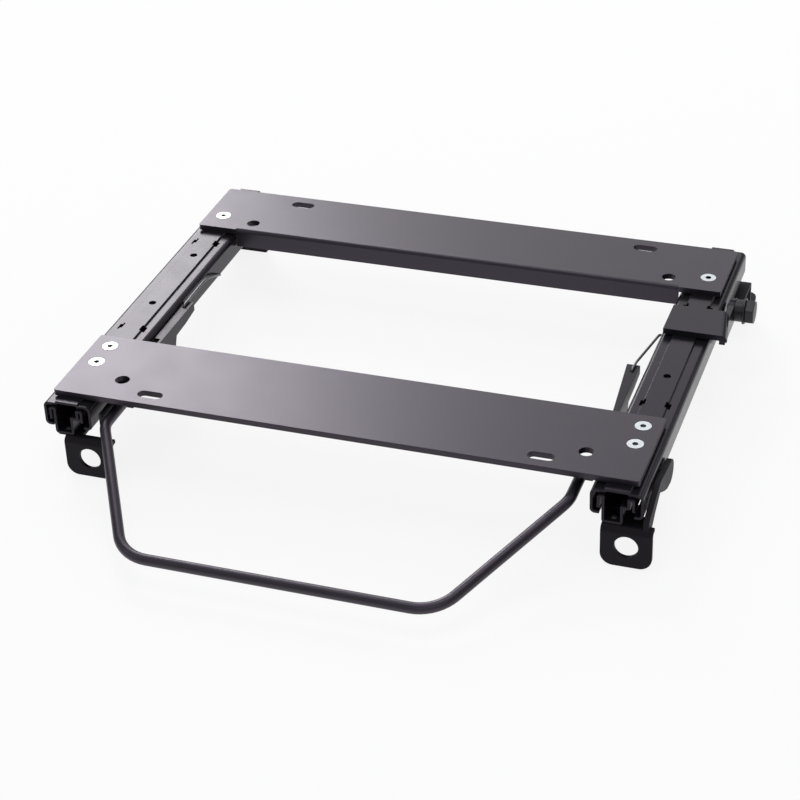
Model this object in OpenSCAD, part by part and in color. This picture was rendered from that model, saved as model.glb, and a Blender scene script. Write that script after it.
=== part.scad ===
// Manual seat slide rail set: two ball slides joined by two seat plates,
// with four floor feet, a lift bar that frees both locks, and a belt anchor.
// Millimetres. X across the car, Y rearwards, Z up. Z = 0 is the top of the
// plates; X = Y = 0 is the middle of the four round seat holes.

/* [Seat plates] */
// how far both plates reach past the middles of the rails
plate_over = 13.5; // [8:0.5:30]
// thickness of both plates
plate_t = 4.5; // [3:0.5:8]
// width of the front plate along the rails
front_w = 81; // [60:1:100]
// width of the rear plate along the rails
rear_w = 67.5; // [50:0.5:90]
// front edge of the front plate
front_y = -152.2; // [-165:0.1:-140]
// front edge of the rear plate
rear_y = 113.2; // [100:0.1:125]
// corner radius of the plates
plate_r = 2; // [1:0.5:12]
// depth of the rear plate's turned-down front flange
flange_h = 15.5; // [8:0.5:20]
// thickness of that flange
flange_t = 4; // [2:0.5:6]
// gap between that flange's ends and the upper rails
flange_gap = 0.8; // [0.5:0.1:60]

/* [Seat bolt pattern] */
// round holes, spacing across
hole_dx = 346; // [300:1:380]
// round holes, spacing along
hole_dy = 253; // [240:1:262]
// round hole diameter
hole_d = 10.5; // [8:0.5:13]
// slots, spacing across
slot_dx = 290; // [250:1:320]
// slots, spacing along
slot_dy = 307.6; // [296:0.1:312]
// how far the slot pattern sits behind the hole pattern
slot_back = 13.8; // [8:0.1:18]
// slot width
slot_w = 8.5; // [6:0.5:11]
// slot length, end to end
slot_l = 19; // [12:0.5:30]

/* [Rails] */
// distance between the two rails, middle to middle
rail_pitch = 405; // [390:1:420]
// sheet thickness of the rails
sheet = 2; // [1.6:0.1:2.5]
// width of the upper rail
upper_w = 37; // [34:0.5:42]
// depth of the upper rail
upper_h = 20.8; // [18:0.1:26]
// half width of its raised middle
crown_half = 8.5; // [6:0.5:10]
// how far the raised middle stands above the shoulders
crown_h = 1.5; // [1:0.1:2.5]
// front end of the upper rails
upper_y0 = -160; // [-175:1:-155]
// rear end of the upper rails
upper_y1 = 191.5; // [182:0.5:200]
// front end of the lower rails
lower_y0 = -162.5; // [-163:0.1:-158]
// rear end of the lower rails
lower_y1 = 190; // [182:0.5:200]
// half width of the lower rail's channel
lower_half = 7.4; // [7.2:0.1:8]
// how far the lower rail reaches below the upper one
lower_drop = 4.7; // [3:0.1:8]
// spacing of the lock notches
pitch = 10; // [8:1:14]
// width of a lock notch
notch_w = 5.4; // [4:0.1:6]
// number of lock notches in each lower rail
notch_n = 24; // [22:1:24]
// first lock notch
notch_y0 = -116; // [-120:1:-110]

/* [Ball bearings] */
// ball diameter
ball_d = 3.2; // [2.5:0.1:3.4]
// length of each ball cage
cage_len = 180; // [120:5:200]

/* [Feet] */
// thickness of the feet
foot_t = 3; // [2.5:0.5:4]
// level of the floor below the plates
floor_z = -61; // [-80:0.5:-55]
// diameter of the bolt holes in the front feet
foot_hole = 16.6; // [10:0.2:18]
// length of the rear foot pads
pad_len = 36; // [28:1:45]
// diameter of the bolt holes in the rear pads
pad_hole = 11; // [8:0.5:14]

/* [Lift bar and locks] */
// diameter of the bar
bar_d = 8; // [6:0.5:10]
// half length of the bar's front run
bar_front_x = 111.2; // [90:0.1:130]
// front run of the bar
bar_front_y = -271; // [-300:1:-240]
// level of the front run
bar_front_z = -42.8; // [-50:0.1:-30]
// level of the bar's ends
bar_end_z = -15.5; // [-17:0.1:-15]
// bend radius beside the levers
bar_bend1 = 22; // [16:1:26]
// bend radius at the front corners
bar_bend2 = 30; // [20:1:40]
// thickness of the lock levers
lever_t = 2.5; // [2:0.1:3]
// lever pivot, along the rails
pivot_y = -106; // [-108:1:-102]
// lever pivot level
pivot_z = -15; // [-16:0.1:-14]
// pivot pin diameter
pin_d = 8; // [6:0.5:9]
// running clearance of the pivot, on the radius
pin_gap = 0.08; // [0.03:0.01:0.1]

/* [Belt anchor] */
// front edge of the anchor strap
strap_y0 = 49; // [40:1:55]
// width of the anchor strap along the rail
strap_w = 37; // [30:1:42]
// where the strap's fold starts, from the rail's middle
anchor_out = 27; // [25.5:0.5:30]
// how far the fold runs inwards over the strap's width
strap_skew = 6; // [0:0.5:6]
// anchor bolt, along the rail
anchor_y = 112; // [100:1:118]
// anchor bolt level
anchor_z = -13; // [-16:0.5:-9]
// anchor bolt shank diameter
anchor_d = 10; // [8:0.5:12]
// anchor bolt head, across flats
anchor_af = 17; // [14:0.5:19]

/* [Screws] */
// countersunk head diameter
head_d = 12; // [11:0.1:13]
// screw diameter
screw_d = 6; // [5:0.5:6]
// hexagon socket, across flats
socket_af = 4; // [3:0.5:5]
// front screw row behind the front plate's front edge
screw_f1 = 44.1; // [38:0.1:50]
// second screw row behind the front plate's front edge
screw_f2 = 67.5; // [60:0.1:72]
// screw row behind the rear plate's front edge
screw_r = 20.5; // [16:0.1:30]

/* [Hidden] */
$fn = 48;
eps = 0.01;
xr = rail_pitch / 2;
plate_len = rail_pitch + 2 * plate_over;
flange_half = xr - upper_w / 2 - flange_gap;
front_y1 = front_y + front_w;
rear_y1 = rear_y + rear_w;
// upper rail levels
crown_run = 0.8;
up_top = -plate_t;
up_sh = up_top - crown_h;
up_bot = up_top - upper_h;
uw = upper_w / 2;
ui = uw - sheet;
lip_half = 12;
r_up = 4;
r_lip = 3.5;
// lower rail levels
lo_bot = up_bot - lower_drop;
lo_top = up_sh - sheet - 0.7;
lo_jog = lo_bot + 13;
neck_out = 9.8;
neck_in = neck_out - sheet;
hook_in = 11.2;
// the channel is set to the left, flush with the neck on that side
lower_mid = lower_half - neck_out;
hook_out = ui - ball_d - 0.3;
hook_end = up_bot + 6.8;
// balls
ball_x = (ui + hook_out) / 2;
ball_z1 = up_sh - sheet - ball_d / 2 - 0.5;
ball_z2 = up_bot + sheet + ball_d / 2 + 0.5;
cage_t = 0.6;
cage_mid = (upper_y0 + upper_y1) / 2;
ball_ys = [-0.42, -0.14, 0.14, 0.42];
// feet
foot_top = lo_bot;
foot_bot = lo_bot - foot_t;
fold_r = foot_t + 2;
fold_z = foot_top - fold_r;
tab_y1 = lower_y0 - 1;
tab_y0 = tab_y1 - foot_t;
fold_y = tab_y0 + fold_r;
fl_x0 = -xr - 2;
fl_x1 = -xr + 35.5;
fl_base = -xr - 9.5;
fl_hole = [-xr + 17.1, floor_z + 15.4];
fr_x0 = xr - 9.5;
fr_x1 = xr + 26.3;
fr_hole = [xr + 8.5, floor_z + 16.4];
foot_in = -lower_y0 - 26.5;
foot_side = 10;
rear_x0 = xr - 12.5;
rear_x1 = xr + 24.5;
// strap of the right front foot, outside the upper rail
wing_x = xr + uw + 0.8;
wing_t = foot_t + 1.2;
wing_y = tab_y1;
wing_top = up_sh - 5;
ear_r = 9;
ear_y = wing_y + 64.5;
ear_z = wing_top - 13.7;
rear_leg_y = lower_y1 - foot_t;
rivet_d = 6;
rivet_head = 9;
// levers
web_x1 = xr - uw - 5.4;
web_x0 = web_x1 - lever_t;
lever_gap = 0.35;
lev_top = -10.2;
lev_end = 9;
chan_y0 = pivot_y - 24;
chan_y1 = pivot_y - 10;
bar_end_x = web_x0 - bar_d / 2 - 1;
bar_turn_y = upper_y0 - 4.3;
chan_x = bar_end_x - bar_d / 2 - 0.4;
chan_z = bar_end_z - bar_d / 2 - 0.1;
comb_z1 = lo_bot - 0.15;
comb_z0 = comb_z1 - 2;
tooth_end = 5.5;
notch_h = 2.4;
comb_ys = [-56, -46, -36];
comb_y0 = comb_ys[0] - 5;
comb_y1 = comb_ys[2] + 5;
tooth_w = notch_w - 1.2;
// the bar's straight runs reach a little way into its bends
bar_lap = 0.4;
bar_step = 0.03;
wire_lap = 0.2;
boss_d = 12;
pin_head = 13;
pin_tail = 6;
// return springs: a wire hooked into the lever and into the rail's wall
wire_d = 2;
wire_gap = 0.3;
hook_y = 0;
wire_z = lev_top + wire_d / 2 + wire_gap;
spring_end = [71, -19.4];
// the wires stand on the levers' turned tops
wire_xl = web_x1 + 2;
wire_xr = web_x0 - 1.6;
// belt anchor
bolt_head_h = 7;
t_bolt = 6.2;
collar_d = 20;
anchor_x = xr + anchor_out;
fold_l = norm([strap_skew, strap_w]);
fold_h = 15;
ear_x = xr + 25.9;
ear_y0 = strap_y0 + 24;
collar_x = ear_x + 8;

// A profile drawn in X and Z, run along Y.
module along_y(y0, y1) {
  translate([0, y1, 0])
    rotate([90, 0, 0])
      linear_extrude(height = y1 - y0)
        children();
}

// A profile drawn in Y and Z, run along X.
module along_x(x0, x1) {
  translate([x0, 0, 0])
    rotate([90, 0, 90])
      linear_extrude(height = x1 - x0)
        children();
}

module rect(x0, y0, x1, y1) {
  translate([x0, y0])
    square([x1 - x0, y1 - y0]);
}

// A rectangle with its own radius for the lower and the upper corners.
module soft_rect(x0, y0, x1, y1, rb, rt) {
  rect(x0, y0 + rb, x1, y1 - rt);
  rect(x0 + rb, y0, x1 - rb, y0 + rb + eps);
  rect(x0 + rt, y1 - rt - eps, x1 - rt, y1);
  for (x = [x0 + rb, x1 - rb])
    translate([x, y0 + rb])
      circle(r = rb);
  for (x = [x0 + rt, x1 - rt])
    translate([x, y1 - rt])
      circle(r = rt);
}

module slab(x0, y0, z0, x1, y1, z1) {
  translate([x0, y0, z0])
    cube([x1 - x0, y1 - y0, z1 - z0]);
}

// A flat plate with four round corners.
module soft_plate(x0, y0, x1, y1, r, z0, z1) {
  translate([0, 0, z0])
    linear_extrude(height = z1 - z0)
      soft_rect(x0, y0, x1, y1, r, r);
}

module rod_x(x0, x1, y, z, r) {
  translate([x0, y, z])
    rotate([0, 90, 0])
      cylinder(r = r, h = x1 - x0);
}

module rod_z(x, y, z0, z1, r) {
  translate([x, y, z0])
    cylinder(r = r, h = z1 - z0);
}

// The raised middle: its steep sides run on below the shoulders' level.
module crown_part(half, top) {
  deep = 1.6;
  polygon([
    [-half - crown_run * deep, top - crown_h * deep], [-half, top],
    [half, top], [half + crown_run * deep, top - crown_h * deep]
  ]);
}

// Upper rail: a C section open below, with a raised middle and turned-in lips.
module upper_hollow() {
  soft_rect(-ui, up_bot + sheet, ui, up_sh - sheet, r_lip - sheet, r_up - sheet);
  crown_part(crown_half - 1.2, up_top - sheet);
  rect(-lip_half, up_bot - 1, lip_half, up_bot + sheet + 1);
}

screw_ys = [front_y + screw_f1, front_y + screw_f2, rear_y + screw_r];
rail_holes = [-9.3, 70.7];
rail_hole_r = 2.8;
stop_ys = [-47, 94.6];

// The upper rail of one side; s is -1 on the left and 1 on the right.
module upper_rail(s) {
  difference() {
    translate([s * xr, 0, 0])
      difference() {
        union() {
          along_y(upper_y0, upper_y1)
            soft_rect(-uw, up_bot, uw, up_sh, r_lip, r_up);
          along_y(upper_y0, upper_y1)
            crown_part(crown_half, up_top);
        }
        along_y(upper_y0 - 1, upper_y1 + 1)
          upper_hollow();
      }
    for (y = screw_ys)
      rod_z(s * xr, y, up_top - sheet - 1, up_top + 1, screw_d / 2 + 0.3);
    for (y = rail_holes)
      rod_z(s * xr, y, up_top - sheet - 1, up_top + 1, rail_hole_r);
    // stop windows pressed out beside the raised middle
    for (y = stop_ys, x = [-1, 1])
      translate([s * xr + x * (crown_half + 0.6) - 2, y - 3.5, up_sh - sheet - 1])
        cube([4, 7, 6]);
    // seat of the lever pin in the inner wall
    rod_x(s * (xr - uw) - sheet - 1, s * (xr - uw) + sheet + 1, pivot_y, pivot_z, pin_tail / 2);
    // hole for the end of the return spring
    rod_x(s * (xr - uw) - sheet - 1, s * (xr - uw) + sheet + 1, spring_end[0], spring_end[1], wire_d / 2 + 0.1);
  }
}

// Lower rail: a channel whose walls step out and fold over into hooks.
module lower_profile() {
  difference() {
    union() {
      soft_rect(lower_mid - lower_half, lo_bot, lower_mid + lower_half, lo_jog + sheet, 2.5, 0.5);
      rect(-neck_out, lo_jog, neck_out, lo_top - 1);
      soft_rect(-hook_out, lo_top - 3, hook_out, lo_top, 0.5, 1.4);
      for (x = [-1, 1])
        rect(min(x * hook_in, x * hook_out), hook_end, max(x * hook_in, x * hook_out), lo_top - 2);
    }
    rect(lower_mid - lower_half + sheet, lo_bot + sheet, lower_mid + lower_half - sheet, lo_jog + sheet + eps);
    rect(-neck_in, lo_jog + sheet, neck_in, lo_top + 1);
    for (x = [-1, 1])
      rect(min(x * neck_out, x * hook_in), lo_jog - 5, max(x * neck_out, x * hook_in), lo_top - 1.5);
  }
}

function notch_y(i) = notch_y0 + i * pitch;

// From the rail's middle to the channel's inner wall; s is -1 on the left, 1 on the right.
function inner(s) = lower_half - s * lower_mid;

module lower_rail(s) {
  difference() {
    translate([s * xr, 0, 0])
      along_y(lower_y0, lower_y1)
        lower_profile();
    // lock notches along the inner lower corner
    for (i = [0 : notch_n - 1])
      translate([s * (xr - inner(s) + (tooth_end - 0.5) / 2) - (tooth_end + 1.5) / 2,
                 notch_y(i) - notch_w / 2, lo_bot - 1])
        cube([tooth_end + 1.5, notch_w, notch_h + 1]);
    for (y = rivet_ys)
      rod_z(s * xr + lower_mid, y, lo_bot - 1, lo_bot + sheet + 1, rivet_d / 2);
  }
}

rivet_ys = [lower_y0 + 7.5, lower_y0 + 19.5, lower_y1 - 33, lower_y1 - 10];

// Front feet: a base under the rail, folded down into an upright tab.
module tab_profile(x0, x1) {
  soft_rect(x0, floor_z, x1, fold_z - 2, 9, 0.5);
  rect(x0, fold_z - 6, x1, fold_z);
}

module front_foot(x0, x1, base_x0, base_x1, hole) {
  difference() {
    union() {
      along_y(tab_y0, tab_y1)
        tab_profile(x0, x1);
      // folded corner
      difference() {
        intersection() {
          rod_x(x0, x1, fold_y, fold_z, fold_r);
          slab(x0, tab_y0, fold_z, x1, fold_y, foot_top);
        }
        rod_x(x0 - 1, x1 + 1, fold_y, fold_z, fold_r - foot_t);
      }
      slab(x0, fold_y - eps, foot_bot, x1, tab_y1 + 4.5, foot_top);
      slab(base_x0, tab_y1 + 4, foot_bot, base_x1, -foot_in, foot_top);
    }
    translate([hole[0], tab_y1 + 1, hole[1]])
      rotate([90, 0, 0])
        cylinder(d = foot_hole, h = foot_t + 2);
    for (x = [-xr, xr], i = [0, 1])
      rod_z(x + lower_mid, rivet_ys[i], foot_bot - 1, foot_top + 1, rivet_d / 2);
  }
}

module lower_rail_left() {
  color("#1b1b1e") lower_rail(-1);
}

module lower_rail_right() {
  color("#1b1b1e") lower_rail(1);
}

module foot_front_left() {
  color("#1b1b1e") front_foot(fl_x0, fl_x1, fl_base, -xr + foot_side, fl_hole);
}

// The right front foot also carries a strap along the outside of the rail.
module foot_front_right() {
  color("#1b1b1e") {
    front_foot(fr_x0, fr_x1, fr_x0, xr + foot_side, fr_hole);
    slab(xr + foot_side - 1, tab_y1 + 3, foot_bot, wing_x + 1, tab_y1 + 15, foot_top);
    along_x(wing_x, wing_x + wing_t)
      union() {
        polygon([
          [wing_y - 1, foot_bot], [wing_y - 1, wing_top - 12], [wing_y + 31, wing_top - 0.5], [ear_y, ear_z + ear_r],
          [ear_y, ear_z - ear_r], [ear_y - 10, ear_z - ear_r + 1.5], [ear_y - 20, ear_z - ear_r / 3],
          [wing_y + 31, wing_top - 9], [wing_y + 17, wing_top - 16], [wing_y + 9, foot_bot]
        ]);
        translate([ear_y, ear_z])
          circle(r = ear_r);
      }
  }
}

// Rear feet: base under the rail, a leg down and a pad on the floor.
module rear_foot(s) {
  x0 = s > 0 ? rear_x0 : -rear_x1;
  x1 = s > 0 ? rear_x1 : -rear_x0;
  difference() {
    union() {
      slab(x0, lower_y1 - 40, foot_bot, x1, rear_leg_y + eps, foot_top);
      intersection() {
        rod_x(x0, x1, rear_leg_y, foot_bot, foot_t);
        slab(x0, rear_leg_y, foot_bot, x1, lower_y1, foot_top);
      }
      slab(x0, rear_leg_y, floor_z, x1, lower_y1, foot_bot + eps);
      soft_plate(x0, rear_leg_y - 5, x1, rear_leg_y + pad_len, 8, floor_z, floor_z + foot_t);
      slab(x0, rear_leg_y, floor_z, x1, rear_leg_y + 12, floor_z + foot_t);
    }
    slab(x0 - 1, rear_leg_y - 10, floor_z - 1, x1 + 1, rear_leg_y, floor_z + foot_t + 2);
    rod_z((x0 + x1) / 2, rear_leg_y + pad_len - 15, floor_z - 1, floor_z + foot_t + 1, pad_hole / 2);
    for (i = [2, 3])
      rod_z(s * xr + lower_mid, rivet_ys[i], foot_bot - 1, foot_top + 1, rivet_d / 2);
  }
}

module foot_rear_left() {
  color("#1b1b1e") rear_foot(-1);
}

module foot_rear_right() {
  color("#1b1b1e") rear_foot(1);
}

// Eight rivets hold the feet to the lower rails.
module foot_rivets() {
  color("#2a2a2d")
    for (s = [-1, 1], y = rivet_ys) {
      rod_z(s * xr + lower_mid, y, foot_bot - 1.6, lo_bot + sheet + 1.6, rivet_d / 2);
      rod_z(s * xr + lower_mid, y, foot_bot - 1.6, foot_bot, rivet_head / 2);
      rod_z(s * xr + lower_mid, y, lo_bot + sheet, lo_bot + sheet + 1.6, rivet_head / 2);
    }
}

module upper_rail_left() {
  color("#1b1b1e") upper_rail(-1);
}

module upper_rail_right() {
  color("#1b1b1e") upper_rail(1);
}

// A slot cut through a plate, running across.
module slot_cut(x, y) {
  for (d = [-1, 1])
    rod_z(x + d * (slot_l - slot_w) / 2, y, -plate_t - 1, 1, slot_w / 2);
  slab(x - (slot_l - slot_w) / 2, y - slot_w / 2, -plate_t - 1, x + (slot_l - slot_w) / 2, y + slot_w / 2, 1);
}

// Hole and countersink for one screw.
module screw_seat(x, y) {
  rod_z(x, y, -plate_t - 1, 1, screw_d / 2 + 0.3);
  translate([x, y, -head_d / 2 + screw_d / 2 + 0.1])
    cylinder(r1 = screw_d / 2 + 0.2, r2 = head_d / 2 + 0.1, h = head_d / 2 - screw_d / 2 - 0.1);
  rod_z(x, y, -eps, 1, head_d / 2 + 0.1);
}

module front_plate() {
  color("#222225")
    difference() {
      soft_plate(-plate_len / 2, front_y, plate_len / 2, front_y1, plate_r, -plate_t, 0);
      for (x = [-1, 1]) {
        rod_z(x * hole_dx / 2, -hole_dy / 2, -plate_t - 1, 1, hole_d / 2);
        slot_cut(x * slot_dx / 2, slot_back - slot_dy / 2);
        screw_seat(x * xr, screw_ys[0]);
        screw_seat(x * xr, screw_ys[1]);
      }
    }
}

module rear_plate() {
  color("#222225")
    difference() {
      union() {
        soft_plate(-plate_len / 2, rear_y, plate_len / 2, rear_y1, plate_r, -plate_t, 0);
        slab(-flange_half, rear_y, -flange_h, flange_half, rear_y + flange_t, -plate_t + eps);
      }
      // folded front edge
      difference() {
        slab(-flange_half, rear_y - 1, -3, flange_half, rear_y + 3, 1);
        rod_x(-flange_half - 1, flange_half + 1, rear_y + 3, -3, 3);
      }
      for (x = [-1, 1]) {
        rod_z(x * hole_dx / 2, hole_dy / 2, -plate_t - 1, 1, hole_d / 2);
        slot_cut(x * slot_dx / 2, slot_back + slot_dy / 2);
        screw_seat(x * xr, screw_ys[2]);
      }
    }
}

// Six countersunk screws with hexagon sockets.
module plate_screws() {
  color("#d8d9dc")
    for (x = [-xr, xr], y = screw_ys)
      difference() {
        union() {
          translate([x, y, -head_d / 2 + screw_d / 2])
            cylinder(r1 = screw_d / 2, r2 = head_d / 2, h = head_d / 2 - screw_d / 2);
          rod_z(x, y, up_top - sheet - 6, -1, screw_d / 2);
        }
        translate([x, y, -2.2])
          cylinder(d = socket_af / cos(30), h = 3, $fn = 6);
      }
}

// Six weld nuts under the upper rails.
module weld_nuts() {
  color("#2a2a2d")
    for (x = [-xr, xr], y = screw_ys)
      difference() {
        translate([x, y, up_top - sheet - 5])
          cylinder(d = 10 / cos(30), h = 5, $fn = 6);
        rod_z(x, y, up_top - sheet - 6, up_top, screw_d / 2);
      }
}

// Belt anchor bracket: a strap over the right rail, turned down outside it.
module belt_bracket() {
  t = plate_t;
  color("#222225")
    difference() {
      union() {
        // one bent section, cut square at its edges and back at the front of its leg
        intersection() {
          translate([anchor_x, strap_y0, up_top])
            rotate([0, 0, atan2(strap_skew, strap_w)])
              along_y(-fold_l, 2 * fold_l)
                union() {
                  rect(-upper_w - 40, 0, 0.5, t);
                  intersection() {
                    circle(r = t);
                    rect(0, 0, t + 1, t + 1);
                  }
                  rect(0, -fold_h, t, 0.5);
                }
          along_x(xr - uw + 2, anchor_x + 10)
            polygon([
              [strap_y0, 1], [strap_y0, up_top - 0.8], [ear_y0 - 3, up_top - 4], [ear_y0 + 4, up_top - fold_h],
              [strap_y0 + strap_w, up_top - fold_h], [strap_y0 + strap_w, 1]
            ]);
        }
        // ear for the bolt, flat against the outside of the rail
        along_x(ear_x - t, ear_x) {
          rect(ear_y0, anchor_z - 9, anchor_y, anchor_z + 7);
          translate([anchor_y, anchor_z])
            circle(r = 9);
        }
      }
      rod_x(ear_x - t - 1, ear_x + 1, anchor_y, anchor_z, anchor_d / 2 + 0.2);
    }
}

module belt_collar() {
  color("#1b1b1e")
    difference() {
      union() {
        rod_x(ear_x, collar_x - 1.5, anchor_y, anchor_z, collar_d / 2 - 1.5);
        rod_x(collar_x - 1.6, collar_x, anchor_y, anchor_z, collar_d / 2);
      }
      rod_x(ear_x - 1, collar_x + 1, anchor_y, anchor_z, anchor_d / 2 + 0.2);
    }
}

module belt_bolt() {
  color("#1b1b1e") {
    rod_x(ear_x - t_bolt, collar_x + 1, anchor_y, anchor_z, anchor_d / 2);
    translate([collar_x, anchor_y, anchor_z])
      rotate([0, 90, 0])
        cylinder(d = anchor_af / cos(30), h = bolt_head_h, $fn = 6);
  }
}

// Two headed pins carry the levers beside the rails.
module lever_pins() {
  color("#2a2a2d")
    for (s = [-1, 1])
      mirror([s < 0 ? 1 : 0, 0, 0]) {
        rod_x(web_x0 - lever_gap - 2.5, web_x0 - lever_gap, pivot_y, pivot_z, pin_head / 2);
        rod_x(web_x0 - lever_gap - eps, web_x1 + lever_gap + eps, pivot_y, pivot_z, pin_d / 2);
        rod_x(web_x1 + lever_gap, xr - uw, pivot_y, pivot_z, boss_d / 2);
        rod_x(xr - uw - eps, xr - ui, pivot_y, pivot_z, pin_tail / 2);
      }
}

// Lock lever drawn for the right side: web, bar channel and comb. The comb reaches
// under the lower rail, whose inner wall is wall_x from the rail's middle. The web
// starts at arm_y, beside the bar.
module lever_body(wall_x, arm_y) {
  difference() {
    union() {
      along_x(web_x0, web_x1)
        union() {
          polygon([
            [arm_y, chan_z - 1.6], [arm_y, lev_top - 1], [chan_y1, lev_top], [lev_end, lev_top],
            [lev_end, lev_top - 7], [-8, -19.4], [-26, -20.3], [comb_y1, comb_z0],
            [comb_y0, comb_z0], [comb_y0 - 13, -22], [chan_y1, -22], [chan_y1 - 2, chan_z - 1.6]
          ]);
          translate([pivot_y, pivot_z])
            circle(r = 9);
        }
      // channel that holds the end of the bar
      slab(chan_x - 1.6, chan_y0, chan_z - 1.6, web_x1, chan_y1, chan_z);
      slab(chan_x - 1.6, chan_y0, chan_z - 1.6, chan_x, chan_y1, lev_top - 1);
      // comb that reaches under the rail
      slab(web_x0, comb_y0, comb_z0, xr - wall_x - 0.7, comb_y1, comb_z1);
      for (y = comb_ys)
        slab(xr - wall_x - 1, y - tooth_w / 2, comb_z0, xr - wall_x + tooth_end, y + tooth_w / 2, comb_z1);
    }
    rod_x(web_x0 - 1, web_x1 + 1, pivot_y, pivot_z, pin_d / 2 + pin_gap);
  }
}

// Both levers are turned the same way at the top: towards the left.
module lock_lever_left() {
  color("#222225")
    difference() {
      union() {
        mirror([1, 0, 0])
          lever_body(inner(-1), upper_y0 + 2);
        slab(-xr + uw + 0.6, -50, lev_top - lever_t, -web_x0, lev_end, lev_top);
      }
      rod_z(-wire_xl, hook_y, lev_top - lever_t - 1, lev_top + 1, wire_d / 2 + wire_gap);
    }
}

module lock_lever_right() {
  color("#222225")
    difference() {
      union() {
        lever_body(inner(1), chan_y0);
        translate([0, 0, lev_top - lever_t])
          linear_extrude(height = lever_t)
            polygon([[web_x1, -68], [web_x0 - 1, -68], [web_x0 - 7.5, lev_end], [web_x1, lev_end]]);
      }
      rod_z(wire_xr, hook_y, lev_top - lever_t - 1, lev_top + 1, wire_d / 2 + wire_gap);
    }
}

// Unit vector and bend of the bar.
function unit(v) = v / norm(v);

// A bend of a round bar at corner c, from direction u to direction v.
module bend(c, u, v, rad, r) {
  a = acos(u * v);
  n = unit(cross(u, v));
  m = cross(n, u);
  o = c - rad * tan(a / 2) * u + rad * m;
  translate(o)
    rotate([atan2(u[2], n[2]), asin(m[2]), atan2(-m[1], -m[0])])
      rotate_extrude(angle = a)
        translate([rad, 0])
          circle(r = r);
}

// A straight run of a round bar from p to q.
module run(p, q, r) {
  w = q - p;
  az = atan2(w[1], w[0]);
  el = acos(w[2] / norm(w));
  translate(p)
    rotate([0, el, az])
      cylinder(r = r, h = norm(w));
}

module lift_bar() {
  r = bar_d / 2;
  p0 = [bar_end_x, chan_y1 - 2, bar_end_z];
  p1 = [bar_end_x, bar_turn_y, bar_end_z];
  p2 = [bar_front_x, bar_front_y, bar_front_z];
  u = unit(p1 - p0);
  v = unit(p2 - p1);
  w = [-1, 0, 0];
  d1 = bar_bend1 * tan(acos(u * v) / 2);
  d2 = bar_bend2 * tan(acos(v * w) / 2);
  color("#1b1b1e") {
    for (s = [-1, 1])
      mirror([s < 0 ? 1 : 0, 0, 0]) {
        run(p0, p1 - (d1 - bar_lap) * u, r);
        bend(p1, u, v, bar_bend1, r + bar_step);
        run(p1 + (d1 - bar_lap) * v, p2 - (d2 - bar_lap) * v, r);
        bend(p2, v, w, bar_bend2, r + bar_step);
      }
    run(p2 + (d2 - bar_lap) * w, [-p2[0] + d2 - bar_lap, p2[1], p2[2]], r);
  }
}

// A bent wire drawn for the right side: hooked into the lever at x, bent at the
// corner c with radius rad, and turned outwards at end_x into the rail's wall.
module spring_wire(x, c, rad, end_x) {
  r = wire_d / 2;
  p0 = [x, hook_y, lev_top - lever_t - 1.5];
  p1 = [x, hook_y, wire_z];
  p2 = [x + (end_x - x) * (c[0] - hook_y) / (spring_end[0] - hook_y), c[0], c[1]];
  p3 = [end_x, spring_end[0], spring_end[1]];
  p4 = [xr - ui - 0.5, spring_end[0], spring_end[1]];
  d = [unit(p1 - p0), unit(p2 - p1), unit(p3 - p2), unit(p4 - p3)];
  k1 = 1.6 * tan(acos(d[0] * d[1]) / 2);
  k2 = rad * tan(acos(d[1] * d[2]) / 2);
  k3 = 1.6 * tan(acos(d[2] * d[3]) / 2);
  run(p0, p1 - (k1 - wire_lap) * d[0], r);
  bend(p1, d[0], d[1], 1.6, r + bar_step);
  run(p1 + (k1 - wire_lap) * d[1], p2 - (k2 - wire_lap) * d[1], r);
  bend(p2, d[1], d[2], rad, r + bar_step);
  run(p2 + (k2 - wire_lap) * d[2], p3 - (k3 - wire_lap) * d[2], r);
  bend(p3, d[2], d[3], 1.6, r + bar_step);
  run(p3 + (k3 - wire_lap) * d[3], p4, r);
}

// A bent wire beside each rail turns the lever back. The left one is bowed.
module return_springs() {
  color("#8d9094") {
    mirror([1, 0, 0])
      spring_wire(wire_xl, [45, -8], 60, wire_xl);
    spring_wire(wire_xr, [12, wire_z - 0.3], 16, xr - uw - 5);
  }
}

// Four ball cages, one on each side of each rail.
module ball_cages() {
  color("#b9a878")
    for (s = [-1, 1], e = [-1, 1])
      difference() {
        slab(s * xr + e * ball_x - cage_t / 2, cage_mid - cage_len / 2, ball_z2 - 1.3,
             s * xr + e * ball_x + cage_t / 2, cage_mid + cage_len / 2, ball_z1 + 1.2);
        for (k = ball_ys, z = [ball_z1, ball_z2])
          rod_x(s * xr + e * ball_x - 2, s * xr + e * ball_x + 2, cage_mid + k * cage_len, z, ball_d / 2 + 0.05);
      }
}

module bearing_balls() {
  color("#c9ccd0")
    for (s = [-1, 1], e = [-1, 1], k = ball_ys, z = [ball_z1, ball_z2])
      translate([s * xr + e * ball_x, cage_mid + k * cage_len, z])
        sphere(d = ball_d);
}

lower_rail_left();
lower_rail_right();
foot_front_left();
foot_front_right();
foot_rear_left();
foot_rear_right();
foot_rivets();
upper_rail_left();
upper_rail_right();
front_plate();
rear_plate();
plate_screws();
weld_nuts();
belt_bracket();
belt_collar();
belt_bolt();
lever_pins();
lock_lever_left();
lock_lever_right();
lift_bar();
return_springs();
ball_cages();
bearing_balls();
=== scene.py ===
# %% [markdown]
# # A seat slide rail set, dressed for its portrait
#
# The object is the steel frame that a car seat is bolted to: a pair of slides, a
# front and a rear plate that join them, four feet and a bent bar that frees the
# locks. The solids come from the CAD model in metres, with Z up, Y to the rear of
# the car and the top of the plates at Z = 0. This lesson gives them light, eased
# edges and finishes, and makes again the few pieces that a plain solid leaves
# too bare: the bent bar, the return wires, the rivets and the anchor bolt.

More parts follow.
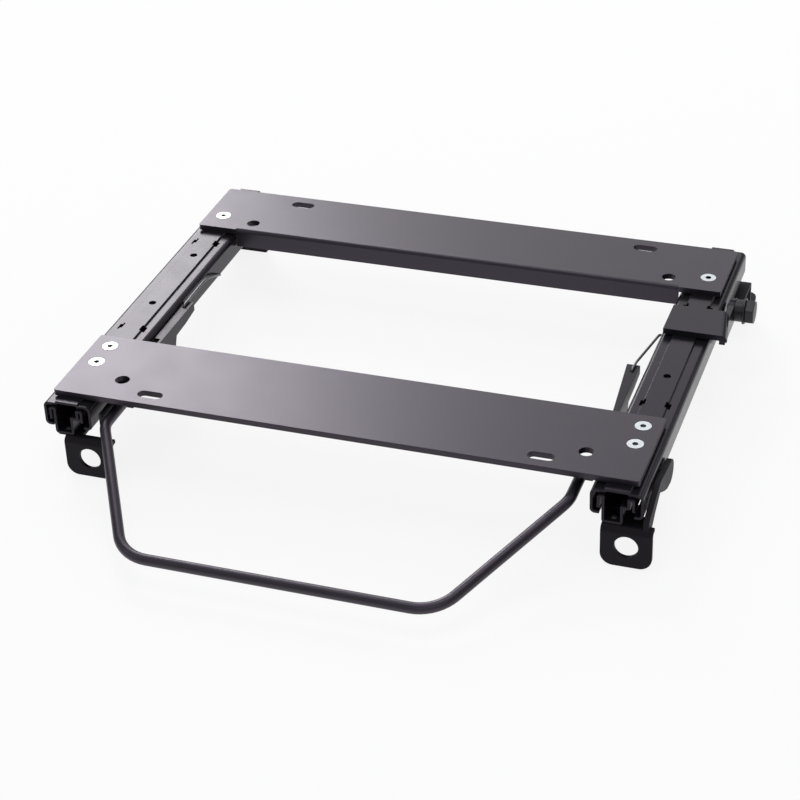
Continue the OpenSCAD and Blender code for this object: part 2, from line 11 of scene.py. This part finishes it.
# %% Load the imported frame
import math

import bmesh
import bpy
from mathutils import Matrix, Vector


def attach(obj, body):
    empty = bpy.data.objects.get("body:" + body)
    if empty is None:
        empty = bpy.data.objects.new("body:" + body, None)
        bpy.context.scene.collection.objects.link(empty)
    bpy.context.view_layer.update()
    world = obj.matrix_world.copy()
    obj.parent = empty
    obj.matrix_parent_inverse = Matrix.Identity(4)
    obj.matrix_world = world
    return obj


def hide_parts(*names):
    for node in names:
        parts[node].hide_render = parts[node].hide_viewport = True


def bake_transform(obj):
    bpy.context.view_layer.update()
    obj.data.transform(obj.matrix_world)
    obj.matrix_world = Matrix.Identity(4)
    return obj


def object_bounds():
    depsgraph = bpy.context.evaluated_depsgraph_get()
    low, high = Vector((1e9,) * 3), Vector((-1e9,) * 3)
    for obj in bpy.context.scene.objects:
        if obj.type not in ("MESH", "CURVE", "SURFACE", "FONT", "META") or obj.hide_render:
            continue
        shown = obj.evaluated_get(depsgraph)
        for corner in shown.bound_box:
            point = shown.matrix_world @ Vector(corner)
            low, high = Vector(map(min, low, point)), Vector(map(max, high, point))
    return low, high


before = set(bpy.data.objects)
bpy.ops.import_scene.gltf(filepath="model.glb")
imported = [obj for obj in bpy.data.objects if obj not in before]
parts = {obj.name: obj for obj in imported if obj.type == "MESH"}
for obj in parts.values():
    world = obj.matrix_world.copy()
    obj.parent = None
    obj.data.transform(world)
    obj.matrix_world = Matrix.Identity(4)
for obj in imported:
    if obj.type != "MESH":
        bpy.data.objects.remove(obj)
cad_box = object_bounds()
scene = bpy.context.scene
MM = 0.001


def in_mm(box):
    """A box's two corners in millimetres, for printing."""
    return [[round(v / MM, 1) for v in corner] for corner in box]


print(len(parts), "solids loaded, box", in_mm(cad_box), "mm")

# %% [markdown]
# ## The camera
#
# The photograph was taken from the front, a little to the right and well above
# the plates. A camera can be aimed by eye, with a Track To constraint, or written
# as a matrix. The matrix is used here because its three axes were fitted to the
# long edges of the plates, so that the picture and the model share a horizon.

# %% Camera
eye = Vector((0.4669, -1.3029, 0.8052))
right = Vector((0.94661, 0.32057, -0.03413))
up = Vector((-0.14340, 0.51352, 0.84600))
back = right.cross(up)
lens_data = bpy.data.cameras.new("portrait_lens")
lens_data.sensor_width = 36.0
lens_data.lens = 96.23
lens_data.clip_start = 0.05
lens_data.clip_end = 60.0
camera = bpy.data.objects.new("portrait_camera", lens_data)
scene.collection.objects.link(camera)
camera.matrix_world = Matrix((
    (right.x, up.x, back.x, eye.x),
    (right.y, up.y, back.y, eye.y),
    (right.z, up.z, back.z, eye.z),
    (0.0, 0.0, 0.0, 1.0),
))
scene.camera = camera
print("camera at", tuple(round(v, 3) for v in eye), "lens", lens_data.lens, "mm")

# %% [markdown]
# ## A dim room and a ring of soft boxes
#
# Black paint has hardly any colour of its own: what shows is the room mirrored in
# it. A white room would veil every face and wash out the edges, so the room is
# dim, and the light comes from large boxes. The sheen box behind the left rail
# gives the bright gleam that fades from left to right over both plates, the back
# box keeps the right half grey, the other boxes round the object keep the plates
# readable from every side, and the top box brings the whole to a plain level. The
# sheen box is narrow, since from the front right a wide one would be mirrored in
# the whole of the plates and turn them white. A sun lamp would give a small hard
# spot instead, so area lights are used.

# %% Dim room
scene.view_settings.view_transform = "Standard"
room = bpy.data.worlds.new("dim_room")
scene.world = room
room.use_nodes = True
sky = room.node_tree.nodes["Background"]
sky.inputs["Color"].default_value = (0.94, 0.95, 1.0, 1.0)
sky.inputs["Strength"].default_value = 0.26
print("room strength", round(sky.inputs["Strength"].default_value, 2))

# %% Soft boxes
BOX_AWAY = 4.4
SOFT_BOXES = {
    # bearing and height in degrees, width and tallness in metres, glow
    "sheen_box": (36.0, 31.0, 1.45, 2.3, 7.9),
    "back_box": (12.0, 30.0, 3.5, 2.3, 1.0),
    "front_box": (200.0, 36.0, 4.0, 2.4, 0.9),
    "right_box": (310.0, 30.0, 3.0, 2.3, 0.9),
    "left_box": (125.0, 32.0, 3.0, 2.3, 0.9),
    "top_box": (0.0, 86.0, 3.0, 3.0, 2.1),
}


def soft_box(name, bearing, height, width, tall, glow):
    """An area light that looks at the object; bearing is degrees from +Y towards -X."""
    a, e = math.radians(bearing), math.radians(height)
    way = Vector((-math.sin(a) * math.cos(e), math.cos(a) * math.cos(e), math.sin(e)))
    data = bpy.data.lights.new(name, "AREA")
    data.shape = "RECTANGLE"
    data.size, data.size_y = width, tall
    data.energy = glow * math.pi * width * tall
    lamp = bpy.data.objects.new(name, data)
    scene.collection.objects.link(lamp)
    lamp.location = way * BOX_AWAY
    lamp.rotation_euler = way.to_track_quat("Z", "Y").to_euler()
    print(name, "at", tuple(round(v, 2) for v in lamp.location), round(data.energy, 1), "W")


for box_name, settings in SOFT_BOXES.items():
    soft_box(box_name, *settings)

# %% [markdown]
# ## The floor
#
# The floor is a pale sheet under the feet. It is lit like any sheet, so it keeps
# the soft shadow, and for the camera and for mirrors most of its colour is white
# of strength one, so that the background is as white as the paper behind a
# product picture.

# %% Floor sheet
FLOOR_REACH = 20.0
FLOOR_DROP = 0.2 * MM
floor_level = cad_box[0][2] - FLOOR_DROP
sheet = bmesh.new()
bmesh.ops.create_grid(sheet, x_segments=1, y_segments=1, size=FLOOR_REACH)
bmesh.ops.translate(sheet, verts=sheet.verts, vec=(0.0, 0.0, floor_level))
floor_mesh = bpy.data.meshes.new("pale_floor")
sheet.to_mesh(floor_mesh)
sheet.free()
floor = bpy.data.objects.new("pale_floor", floor_mesh)
scene.collection.objects.link(floor)
print("floor at", round(floor_level, 4), "m")

# %% Floor paper
WHITE_SHARE = 0.86
paper = bpy.data.materials.new("pale_paper")
paper.use_nodes = True
wires = paper.node_tree
wires.nodes.clear()
matt = wires.nodes.new("ShaderNodeBsdfDiffuse")
matt.inputs["Color"].default_value = (0.9, 0.9, 0.9, 1.0)
white = wires.nodes.new("ShaderNodeEmission")
white.inputs["Color"].default_value = (1.0, 1.0, 1.0, 1.0)
white.inputs["Strength"].default_value = 1.0
seen = wires.nodes.new("ShaderNodeLightPath")
direct = wires.nodes.new("ShaderNodeMath")
direct.operation = "MAXIMUM"
mirrored = wires.nodes.new("ShaderNodeMath")
mirrored.operation = "MAXIMUM"
share = wires.nodes.new("ShaderNodeMath")
share.operation = "MULTIPLY"
share.inputs[1].default_value = WHITE_SHARE
both = wires.nodes.new("ShaderNodeMixShader")
paper_out = wires.nodes.new("ShaderNodeOutputMaterial")
wires.links.new(seen.outputs["Is Camera Ray"], direct.inputs[0])
wires.links.new(seen.outputs["Is Glossy Ray"], direct.inputs[1])
wires.links.new(direct.outputs[0], mirrored.inputs[0])
wires.links.new(seen.outputs["Is Transmission Ray"], mirrored.inputs[1])
wires.links.new(mirrored.outputs[0], share.inputs[0])
wires.links.new(share.outputs[0], both.inputs["Fac"])
wires.links.new(matt.outputs["BSDF"], both.inputs[1])
wires.links.new(white.outputs["Emission"], both.inputs[2])
wires.links.new(both.outputs["Shader"], paper_out.inputs["Surface"])
floor.data.materials.append(paper)
print("floor is", WHITE_SHARE, "white for the camera and for mirrors")

# %% [markdown]
# ## Helpers for finishes
#
# Every finish here starts from noise on Object coordinates, which are metres, so
# a scale of 600 means ripples of 1.7 mm wherever the piece is. Noise values crowd
# round one half, so the range from 0.3 to 0.7 is stretched to what is wanted.

# %% Finish helpers: noise and range
def noise(tree, scale, detail):
    """A noise texture on Object coordinates."""
    place = tree.nodes.new("ShaderNodeTexCoord")
    texture = tree.nodes.new("ShaderNodeTexNoise")
    texture.inputs["Scale"].default_value = scale
    texture.inputs["Detail"].default_value = detail
    tree.links.new(place.outputs["Object"], texture.inputs["Vector"])
    return texture.outputs["Fac"]


def stretch(tree, source, low, high, start=0.3, stop=0.7):
    """Maps a value from start..stop to low..high."""
    scale = tree.nodes.new("ShaderNodeMapRange")
    scale.inputs["From Min"].default_value = start
    scale.inputs["From Max"].default_value = stop
    scale.inputs["To Min"].default_value = low
    scale.inputs["To Max"].default_value = high
    tree.links.new(source, scale.inputs["Value"])
    return scale.outputs["Result"]


print("noise and stretch ready")

# %% Finish helpers: colour and relief
TONE_STOPS = (0.32, 0.7)


def two_tones(tree, source, dark, pale):
    """A colour that goes from dark to pale with the value."""
    ramp = tree.nodes.new("ShaderNodeValToRGB")
    for stop, spot, tone in zip(ramp.color_ramp.elements, TONE_STOPS, (dark, pale)):
        stop.position = spot
        stop.color = (tone[0], tone[1], tone[2], 1.0)
    tree.links.new(source, ramp.inputs["Fac"])
    return ramp.outputs["Color"]


def relief(tree, source, strength, depth):
    """A bump from the value, depth in metres."""
    bump = tree.nodes.new("ShaderNodeBump")
    bump.inputs["Strength"].default_value = strength
    bump.inputs["Distance"].default_value = depth
    tree.links.new(source, bump.inputs["Height"])
    return bump.outputs["Normal"]


print("two_tones and relief ready")

# %% [markdown]
# ## Black paint
#
# The steel is dipped and baked: a thin, even, half-gloss black with a faint plum
# cast in its sheen. Up close such a film isn't flat. It has orange peel, a ripple
# between one and two millimetres wide, and its gloss drifts from place to place.
# One function builds every black: a fine noise for the ripple, a broad one for
# the gloss and a very fine one for the grain of the pigment. The rails are the
# glossiest, the plates and the bar are softer, and the feet are almost dull.

# %% Paint recipe
GLOSS_DRIFT, PEEL_RIPPLE, PIGMENT_GRAIN = 34.0, 620.0, 2400.0
PEEL_DEPTH = 0.4 * MM
PLUM_CAST = (0.93, 0.79, 1.0, 1.0)


def black_paint(name, tone, gloss_low, gloss_high, peel=0.05, index=1.5):
    """Baked black paint; the gloss values are the roughness at its shiniest and dullest."""
    mat = bpy.data.materials.new(name)
    mat.use_nodes = True
    tree = mat.node_tree
    skin = tree.nodes["Principled BSDF"]
    gloss = stretch(tree, noise(tree, GLOSS_DRIFT, 3.0), gloss_low, gloss_high)
    ripple = relief(tree, noise(tree, PEEL_RIPPLE, 2.0), peel, PEEL_DEPTH)
    grain = noise(tree, PIGMENT_GRAIN, 1.0)
    shade = two_tones(tree, grain, [c * 0.75 for c in tone], [c * 1.3 for c in tone])
    tree.links.new(gloss, skin.inputs["Roughness"])
    tree.links.new(ripple, skin.inputs["Normal"])
    tree.links.new(shade, skin.inputs["Base Color"])
    skin.inputs["IOR"].default_value = index
    skin.inputs["Specular Tint"].default_value = PLUM_CAST
    print("paint", name, "roughness", gloss_low, "to", gloss_high)
    return mat


rail_black = black_paint("rail_black", (0.009, 0.0085, 0.0105), 0.21, 0.27, index=1.34)
plate_black = black_paint("plate_black", (0.011, 0.010, 0.0125), 0.325, 0.355, 0.04, 1.54)
bracket_black = black_paint("bracket_black", (0.006, 0.006, 0.007), 0.3, 0.38, index=1.32)
foot_black = black_paint("foot_black", (0.008, 0.008, 0.009), 0.46, 0.56, index=1.24)
bar_black = black_paint("bar_black", (0.007, 0.007, 0.008), 0.36, 0.44, index=1.6)

# %% [markdown]
# ## Bare and plated steel
#
# The countersunk screws are bright zinc, the bolt and the rivets are blackened,
# the return wires are oiled spring steel, and the slides run on polished balls.
# Metals take their colour from the reflection, so Metallic is 1, and the fine
# scratches that tumbling leaves go into the roughness and a faint relief.

# %% Metal recipe
SCRATCH_DEPTH = 0.2 * MM


def steel(name, colour, dull_low, dull_high, scale, scratch=0.06):
    """A metal finish with fine tumbling marks."""
    mat = bpy.data.materials.new(name)
    mat.use_nodes = True
    tree = mat.node_tree
    skin = tree.nodes["Principled BSDF"]
    skin.inputs["Metallic"].default_value = 1.0
    marks = noise(tree, scale, 4.0)
    tree.links.new(stretch(tree, marks, dull_low, dull_high), skin.inputs["Roughness"])
    tree.links.new(relief(tree, marks, scratch, SCRATCH_DEPTH), skin.inputs["Normal"])
    tint = two_tones(tree, marks, [c * 0.82 for c in colour], colour)
    tree.links.new(tint, skin.inputs["Base Color"])
    print("metal", name, "roughness", dull_low, "to", dull_high)
    return mat


bright_zinc = steel("bright_zinc", (0.66, 0.70, 0.73), 0.28, 0.42, 900.0)
black_oxide = steel("black_oxide", (0.05, 0.05, 0.054), 0.34, 0.5, 700.0)
spring_wire = steel("spring_wire", (0.16, 0.16, 0.17), 0.3, 0.42, 1500.0)
plain_strip = steel("plain_strip", (0.5, 0.49, 0.46), 0.32, 0.45, 500.0)
ball_polish = steel("ball_polish", (0.8, 0.8, 0.82), 0.06, 0.14, 1200.0, scratch=0.01)

# %% [markdown]
# ## Painted shade in the sockets
#
# The hexagon sockets of the zinc screws are only a few millimetres wide, and on
# the real screws they read as a dark dot, since shade fills them. That shade is
# painted into the zinc's colour: the depth below the plate is Object Z, so one
# mask on it darkens everything deeper than half a millimetre.

# %% Painted shade in the sockets of the zinc screws
# Painted shade: the zinc colour is darkened with the depth below the plate, fully at the
# deeper of these two depths.
SHADE_FROM, SHADE_FULL = -0.3 * MM, -0.7 * MM
SOCKET_SHADE = (0.3, 0.31, 0.33, 1.0)
zinc_tree = bright_zinc.node_tree
zinc_skin = zinc_tree.nodes["Principled BSDF"]
zinc_colour = zinc_skin.inputs["Base Color"].links[0].from_socket
where = zinc_tree.nodes.new("ShaderNodeTexCoord")
split = zinc_tree.nodes.new("ShaderNodeSeparateXYZ")
zinc_tree.links.new(where.outputs["Object"], split.inputs["Vector"])
depth = stretch(zinc_tree, split.outputs["Z"], 0.0, 1.0, SHADE_FULL, SHADE_FROM)
socket_shade = zinc_tree.nodes.new("ShaderNodeMix")
socket_shade.data_type = "RGBA"
socket_shade.inputs["A"].default_value = SOCKET_SHADE
zinc_tree.links.new(depth, socket_shade.inputs["Factor"])
zinc_tree.links.new(zinc_colour, socket_shade.inputs["B"])
zinc_tree.links.new(socket_shade.outputs["Result"], zinc_skin.inputs["Base Color"])
print("sockets darkened below", SHADE_FROM / MM, "mm")

# %% [markdown]
# ## Eased edges
#
# Sheet steel that has been pressed and painted has no knife edges: each one is
# rounded by a fifth to a third of a millimetre and catches a thin line of light.
# The CAD solids stay as they are, and modifiers do the easing on top of them: Weld
# joins their loose triangles, Decimate clears the lines inside flat faces, Bevel
# rounds whatever is sharper than 35 degrees and leaves the fine facets of round
# holes alone, and Weighted Normal keeps the flat faces flat. The rear plate's
# flange ends in a tight fold, where an unclamped bevel would throw out a spike.

# %% Easing helpers
JOIN_GAP = 0.002 * MM
FLAT_ANGLE, SHARP_ANGLE = math.radians(0.5), math.radians(35.0)


def eased(part, ease, clamp=False):
    """Rounds a piece's sharp edges and keeps its flat faces flat."""
    round_off = part.modifiers.new("ease", "BEVEL")
    round_off.width = ease * MM
    round_off.segments = 2
    round_off.limit_method = "ANGLE"
    round_off.angle_limit = SHARP_ANGLE
    round_off.use_clamp_overlap = clamp
    flat = part.modifiers.new("flat_faces", "WEIGHTED_NORMAL")
    flat.mode = "FACE_AREA"
    flat.weight = 100


def dress(name, finish, ease=0.3, clamp=False):
    """Gives a CAD solid its finish and edges eased by so many millimetres."""
    part = parts[name]
    part.data.materials.clear()
    part.data.materials.append(finish)
    for face in part.data.polygons:
        face.use_smooth = True
        face.material_index = 0
    part.modifiers.new("join", "WELD").merge_threshold = JOIN_GAP
    if ease:
        clear = part.modifiers.new("clear", "DECIMATE")
        clear.decimate_type = "DISSOLVE"
        clear.angle_limit = FLAT_ANGLE
        eased(part, ease, clamp)
    print("dressed", name)


print("easing ready")

# %% Dress the solids
for side in ("left", "right"):
    dress("lower_rail_" + side, rail_black, 0.2)
    dress("upper_rail_" + side, rail_black, 0.2)
    dress("foot_front_" + side, foot_black)
    dress("foot_rear_" + side, foot_black)
    dress("lock_lever_" + side, bracket_black)
dress("front_plate", plate_black, 0.2)
dress("rear_plate", plate_black, 0.2, clamp=True)
dress("belt_bracket", rail_black, 0.2)
dress("plate_screws", bright_zinc, 0.15)
dress("weld_nuts", black_oxide, 0.2)
dress("belt_collar", black_oxide)
dress("lever_pins", black_oxide)
dress("ball_cages", plain_strip, 0.0)
dress("bearing_balls", ball_polish, 0.0)

# %% [markdown]
# ## The bent bar
#
# The lift bar is one round rod, bent four times in a jig. It could be a curve
# with a bevel, but a ring that is pushed along each straight run and spun round
# each bend is how the rod itself is made, and it gives clean rings of quads. The
# same function makes the return wires further down.

# %% Push and turn a ring
BEND_STEP = 7.0


def only(kind, things):
    """The vertices, edges or faces in what an operator gives back."""
    return [t for t in things if isinstance(t, kind)]


def push(bm, ring, step):
    """Moves a ring of edges on by step and leaves a wall behind it."""
    grown = bmesh.ops.extrude_edge_only(bm, edges=ring)["geom"]
    tips = only(bmesh.types.BMVert, grown)
    bmesh.ops.translate(bm, verts=tips, vec=step)
    return [e for e in only(bmesh.types.BMEdge, grown) if all(v in tips for v in e.verts)]


def turn(bm, ring, start, before, after, radius):
    """Spins a ring from the direction before to the direction after."""
    axis = before.cross(after).normalized()
    centre = start + axis.cross(before) * radius
    angle = before.angle(after)
    steps = max(4, round(math.degrees(angle) / BEND_STEP))
    spun = bmesh.ops.spin(bm, geom=ring, cent=centre, axis=axis, angle=angle, steps=steps)
    return only(bmesh.types.BMEdge, spun["geom_last"])


print("a bend has a ring every", BEND_STEP, "degrees")

# %% [markdown]
# A rod is given by the corners of its path and the radius of each bend. A bend
# touches both runs at its radius times the tangent of half the angle from the
# corner, so each run stops short by that much. The ends are closed and eased.

# %% Bent rod
END_EASE = 0.2


def bent_rod(bm, corners, bends, radius, sides, cuts=1):
    """A closed round rod through the corners, all in millimetres."""
    points = [Vector(c) * MM for c in corners]
    ways = [(b - a).normalized() for a, b in zip(points, points[1:])]
    tilt = ways[0].to_track_quat("Z", "Y").to_matrix().to_4x4()
    face = Matrix.Translation(points[0]) @ tilt
    disc = bmesh.ops.create_circle(bm, segments=sides, radius=radius * MM, matrix=face)
    ring = list(dict.fromkeys(e for v in disc["verts"] for e in v.link_edges))
    ends, here = [ring], points[0]
    for k, way in enumerate(ways):
        last = k == len(ways) - 1
        trim = 0.0 if last else bends[k] * MM * math.tan(way.angle(ways[k + 1]) / 2)
        stop = points[k + 1] - way * trim
        for _ in range(cuts):
            ring = push(bm, ring, (stop - here) / cuts)
        if not last:
            ring = turn(bm, ring, stop, way, ways[k + 1], bends[k] * MM)
            here = points[k + 1] + ways[k + 1] * trim
    ends.append(ring)
    for rim in ends:
        bmesh.ops.edgeloop_fill(bm, edges=rim)
    rims = [e for rim in ends for e in rim]
    bmesh.ops.bevel(bm, geom=rims, offset=radius * END_EASE * MM, offset_type="OFFSET",
                    segments=3, profile=0.5, affect="EDGES", material=-1)


print("rod ends are eased by", END_EASE, "of the radius")

# %% Finish a new piece
def finished(name, bm, finish):
    """Turns a bmesh into a smooth piece at the origin with its finish."""
    bmesh.ops.recalc_face_normals(bm, faces=bm.faces)
    for side in bm.faces:
        side.smooth = True
    mesh = bpy.data.meshes.new(name)
    bm.to_mesh(mesh)
    bm.free()
    piece = bpy.data.objects.new(name, mesh)
    scene.collection.objects.link(piece)
    mesh.materials.append(finish)
    spots = [v.co for v in mesh.vertices]
    box = [[pick(p[i] for p in spots) for i in range(3)] for pick in (min, max)]
    print(name, len(mesh.polygons), "faces, box", in_mm(box), "mm")
    return piece


print("new pieces keep their place in the mesh, as the solids do")

# %% Lift bar
BAR_RADIUS, BAR_SIDES = 4.0, 28
BAR_BENDS = (22.0, 30.0, 30.0, 22.0)
half = [(171.1, -118.0, -15.5), (171.1, -164.3, -15.5), (111.2, -271.0, -42.8)]
other = [(-x, y, z) for x, y, z in reversed(half)]
bar_mesh = bmesh.new()
bent_rod(bar_mesh, half + other, BAR_BENDS, BAR_RADIUS, BAR_SIDES)
bar = finished("lift_bar_rod", bar_mesh, bar_black)
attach(bar, "release")
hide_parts("lift_bar")

# %% [markdown]
# ## The return wires
#
# A bent spring wire beside each rail turns its lock lever back. One end is hooked
# into the lever and the other into the rail's wall, so the wire flexes as the
# lever turns. A stiff piece would have to ride on one of the two, and the other
# end would come out of its hole. Here both wires are one fixed piece, made in
# their rest shape.

# %% Return wires
WIRE_RADIUS, WIRE_SIDES, WIRE_CUTS = 1.0, 14, 6
hook_low, hook_top, wall_x = -14.2, -8.9, 185.5
tail_y, tail_z = 71.0, -19.4
left_wire = [(180.6, 0.0, hook_low), (180.6, 0.0, hook_top), (180.6, 45.0, -8.0),
             (180.6, tail_y, tail_z), (wall_x, tail_y, tail_z)]
right_wire = [(174.5, 0.0, hook_low), (174.5, 0.0, hook_top), (175.26, 12.0, -9.2),
              (179.0, tail_y, tail_z), (wall_x, tail_y, tail_z)]
wire_mesh = bmesh.new()
for path, bends in (([(-x, y, z) for x, y, z in left_wire], (1.6, 60.0, 1.6)),
                    (right_wire, (1.6, 16.0, 1.6))):
    bent_rod(wire_mesh, path, bends, WIRE_RADIUS, WIRE_SIDES, WIRE_CUTS)
springs = finished("return_wires", wire_mesh, spring_wire)
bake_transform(springs)
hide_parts("return_springs")

# %% [markdown]
# ## Domed rivets
#
# The feet are riveted to the lower rails, and the heads are low domes. A dome is
# an arc spun round its axis: one vertex is spun into the arc of the lower head,
# extruded up the shank, spun again for the upper head, and the whole outline is
# then spun once round. One rivet is made, and copies go to the other seven holes.

# %% Turned outlines
DOME_STEPS = 5


def drawn_on(bm, tip, spots):
    """Extrudes a vertex through the spots (radius, height) of an outline."""
    for radius, height in spots:
        tip = bmesh.ops.extrude_vert_indiv(bm, verts=[tip])["verts"][0]
        tip.co = (radius, 0.0, height)
    return tip


def turned(bm, steps):
    """Spins a whole outline once round Z and joins what lies on the axis."""
    outline = bm.verts[:] + bm.edges[:]
    bmesh.ops.spin(bm, geom=outline, cent=(0.0, 0.0, 0.0), axis=(0.0, 0.0, 1.0),
                   angle=math.tau, steps=steps, use_merge=True)
    bmesh.ops.remove_doubles(bm, verts=bm.verts, dist=JOIN_GAP)


def rivet_outline(bm, low, high, head, rise, shank):
    """Half of a rivet in the XZ plane, with a dome of height rise at both ends."""
    ball = (head * head + rise * rise) / (2.0 * rise)
    lean = math.asin(head / ball)
    arc = {"axis": (0.0, -1.0, 0.0), "angle": lean, "steps": DOME_STEPS}
    foot = bm.verts.new((0.0, 0.0, low - rise))
    bmesh.ops.spin(bm, geom=[foot], cent=(0.0, 0.0, low - rise + ball), **arc)
    rim = max(bm.verts, key=lambda v: v.co.x)
    rim = drawn_on(bm, rim, ((shank, low), (shank, high), (head, high)))
    bmesh.ops.spin(bm, geom=[rim], cent=(0.0, 0.0, high + rise - ball), **arc)


print("a dome has", DOME_STEPS, "steps")

# %% Rivets
RIVET_LOW, RIVET_HIGH = -33.0 * MM, -28.0 * MM
HEAD_RADIUS, HEAD_RISE, SHANK_RADIUS = 4.5 * MM, 1.6 * MM, 3.0 * MM
rivet_mesh = bmesh.new()
rivet_outline(rivet_mesh, RIVET_LOW, RIVET_HIGH, HEAD_RADIUS, HEAD_RISE, SHANK_RADIUS)
turned(rivet_mesh, 28)
one = rivet_mesh.verts[:] + rivet_mesh.edges[:] + rivet_mesh.faces[:]
places = [(x, y) for x in (-204.9, 200.1) for y in (-155.0, -143.0, 157.0, 180.0)]
sets = [bmesh.ops.duplicate(rivet_mesh, geom=one)["geom"] for _ in places[1:]]
for rivet, (x, y) in zip([one] + sets, places):
    bmesh.ops.translate(rivet_mesh, vec=(x * MM, y * MM, 0.0),
                        verts=only(bmesh.types.BMVert, rivet))
rivets = finished("foot_rivet_set", rivet_mesh, black_oxide)
eased(rivets, 0.1)
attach(rivets, "base")
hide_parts("foot_rivets")

# %% [markdown]
# ## The anchor bolt
#
# A forged hexagon head has a washer face below and a cone turned off its corners
# above, which leaves a bowed edge on every flat. Bevelling a hexagon can't give
# that bow. Turning the cone first, as a spun outline, and then cutting the six
# flats with planes gives it in the same way as the forge does.

# %% Bolt turned round
BOLT_OUTLINE = [(0.0, 7.0), (8.2, 7.0), (9.6, 6.2), (9.6, 0.6), (8.1, 0.6), (8.1, 0.0),
                (5.0, 0.0), (5.0, -13.4), (4.2, -14.2), (0.0, -14.2)]
bolt_spots = [(r * MM, h * MM) for r, h in BOLT_OUTLINE]
bolt_mesh = bmesh.new()
bolt_top = bolt_mesh.verts.new((bolt_spots[0][0], 0.0, bolt_spots[0][1]))
drawn_on(bolt_mesh, bolt_top, bolt_spots[1:])
turned(bolt_mesh, 48)
print("turned bolt has", len(bolt_mesh.faces), "faces")

# %% Bolt flats
HEX_HALF = 8.5 * MM
bolt_at = Vector((236.4, 112.0, -13.0)) * MM
for k in range(6):
    side = Vector((math.sin(k * math.pi / 3), math.cos(k * math.pi / 3), 0.0))
    whole = bolt_mesh.verts[:] + bolt_mesh.edges[:] + bolt_mesh.faces[:]
    cut = bmesh.ops.bisect_plane(bolt_mesh, geom=whole, plane_co=side * HEX_HALF,
                                 plane_no=side, clear_outer=True)["geom_cut"]
    bmesh.ops.edgeloop_fill(bolt_mesh, edges=only(bmesh.types.BMEdge, cut))
bmesh.ops.rotate(bolt_mesh, verts=bolt_mesh.verts, cent=(0.0, 0.0, 0.0),
                 matrix=Matrix.Rotation(math.pi / 2, 3, "Y"))
bmesh.ops.translate(bolt_mesh, verts=bolt_mesh.verts, vec=bolt_at)
bolt = finished("anchor_bolt", bolt_mesh, black_oxide)
eased(bolt, 0.2)
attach(bolt, "carriage")
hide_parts("belt_bolt")
